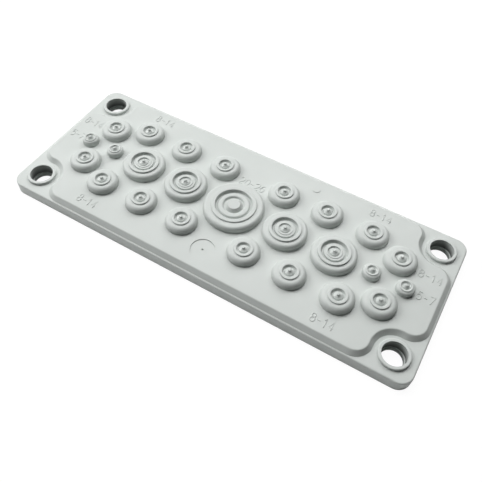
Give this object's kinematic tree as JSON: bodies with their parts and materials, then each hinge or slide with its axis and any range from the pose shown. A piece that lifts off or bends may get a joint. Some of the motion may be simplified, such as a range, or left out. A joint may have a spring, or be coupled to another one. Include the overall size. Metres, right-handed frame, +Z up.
{
  "type": "cable entry plate",
  "caption": "Flat rectangular cable entry plate of soft light grey elastomer, with stepped round cable membranes on a raised platform and a rimmed fixing hole in each corner.",
  "frame": {"origin": "middle of the underside", "axes": "+X along the long side, +Y along the short side, +Z up from the underside to the domes"},
  "size_m": [0.2224, 0.087, 0.0136],
  "materials": {
    "elastomer": "matte moulded"
  },
  "bodies": {
    "root": {"entry_plate": "elastomer"}
  },
  "joints": []
}
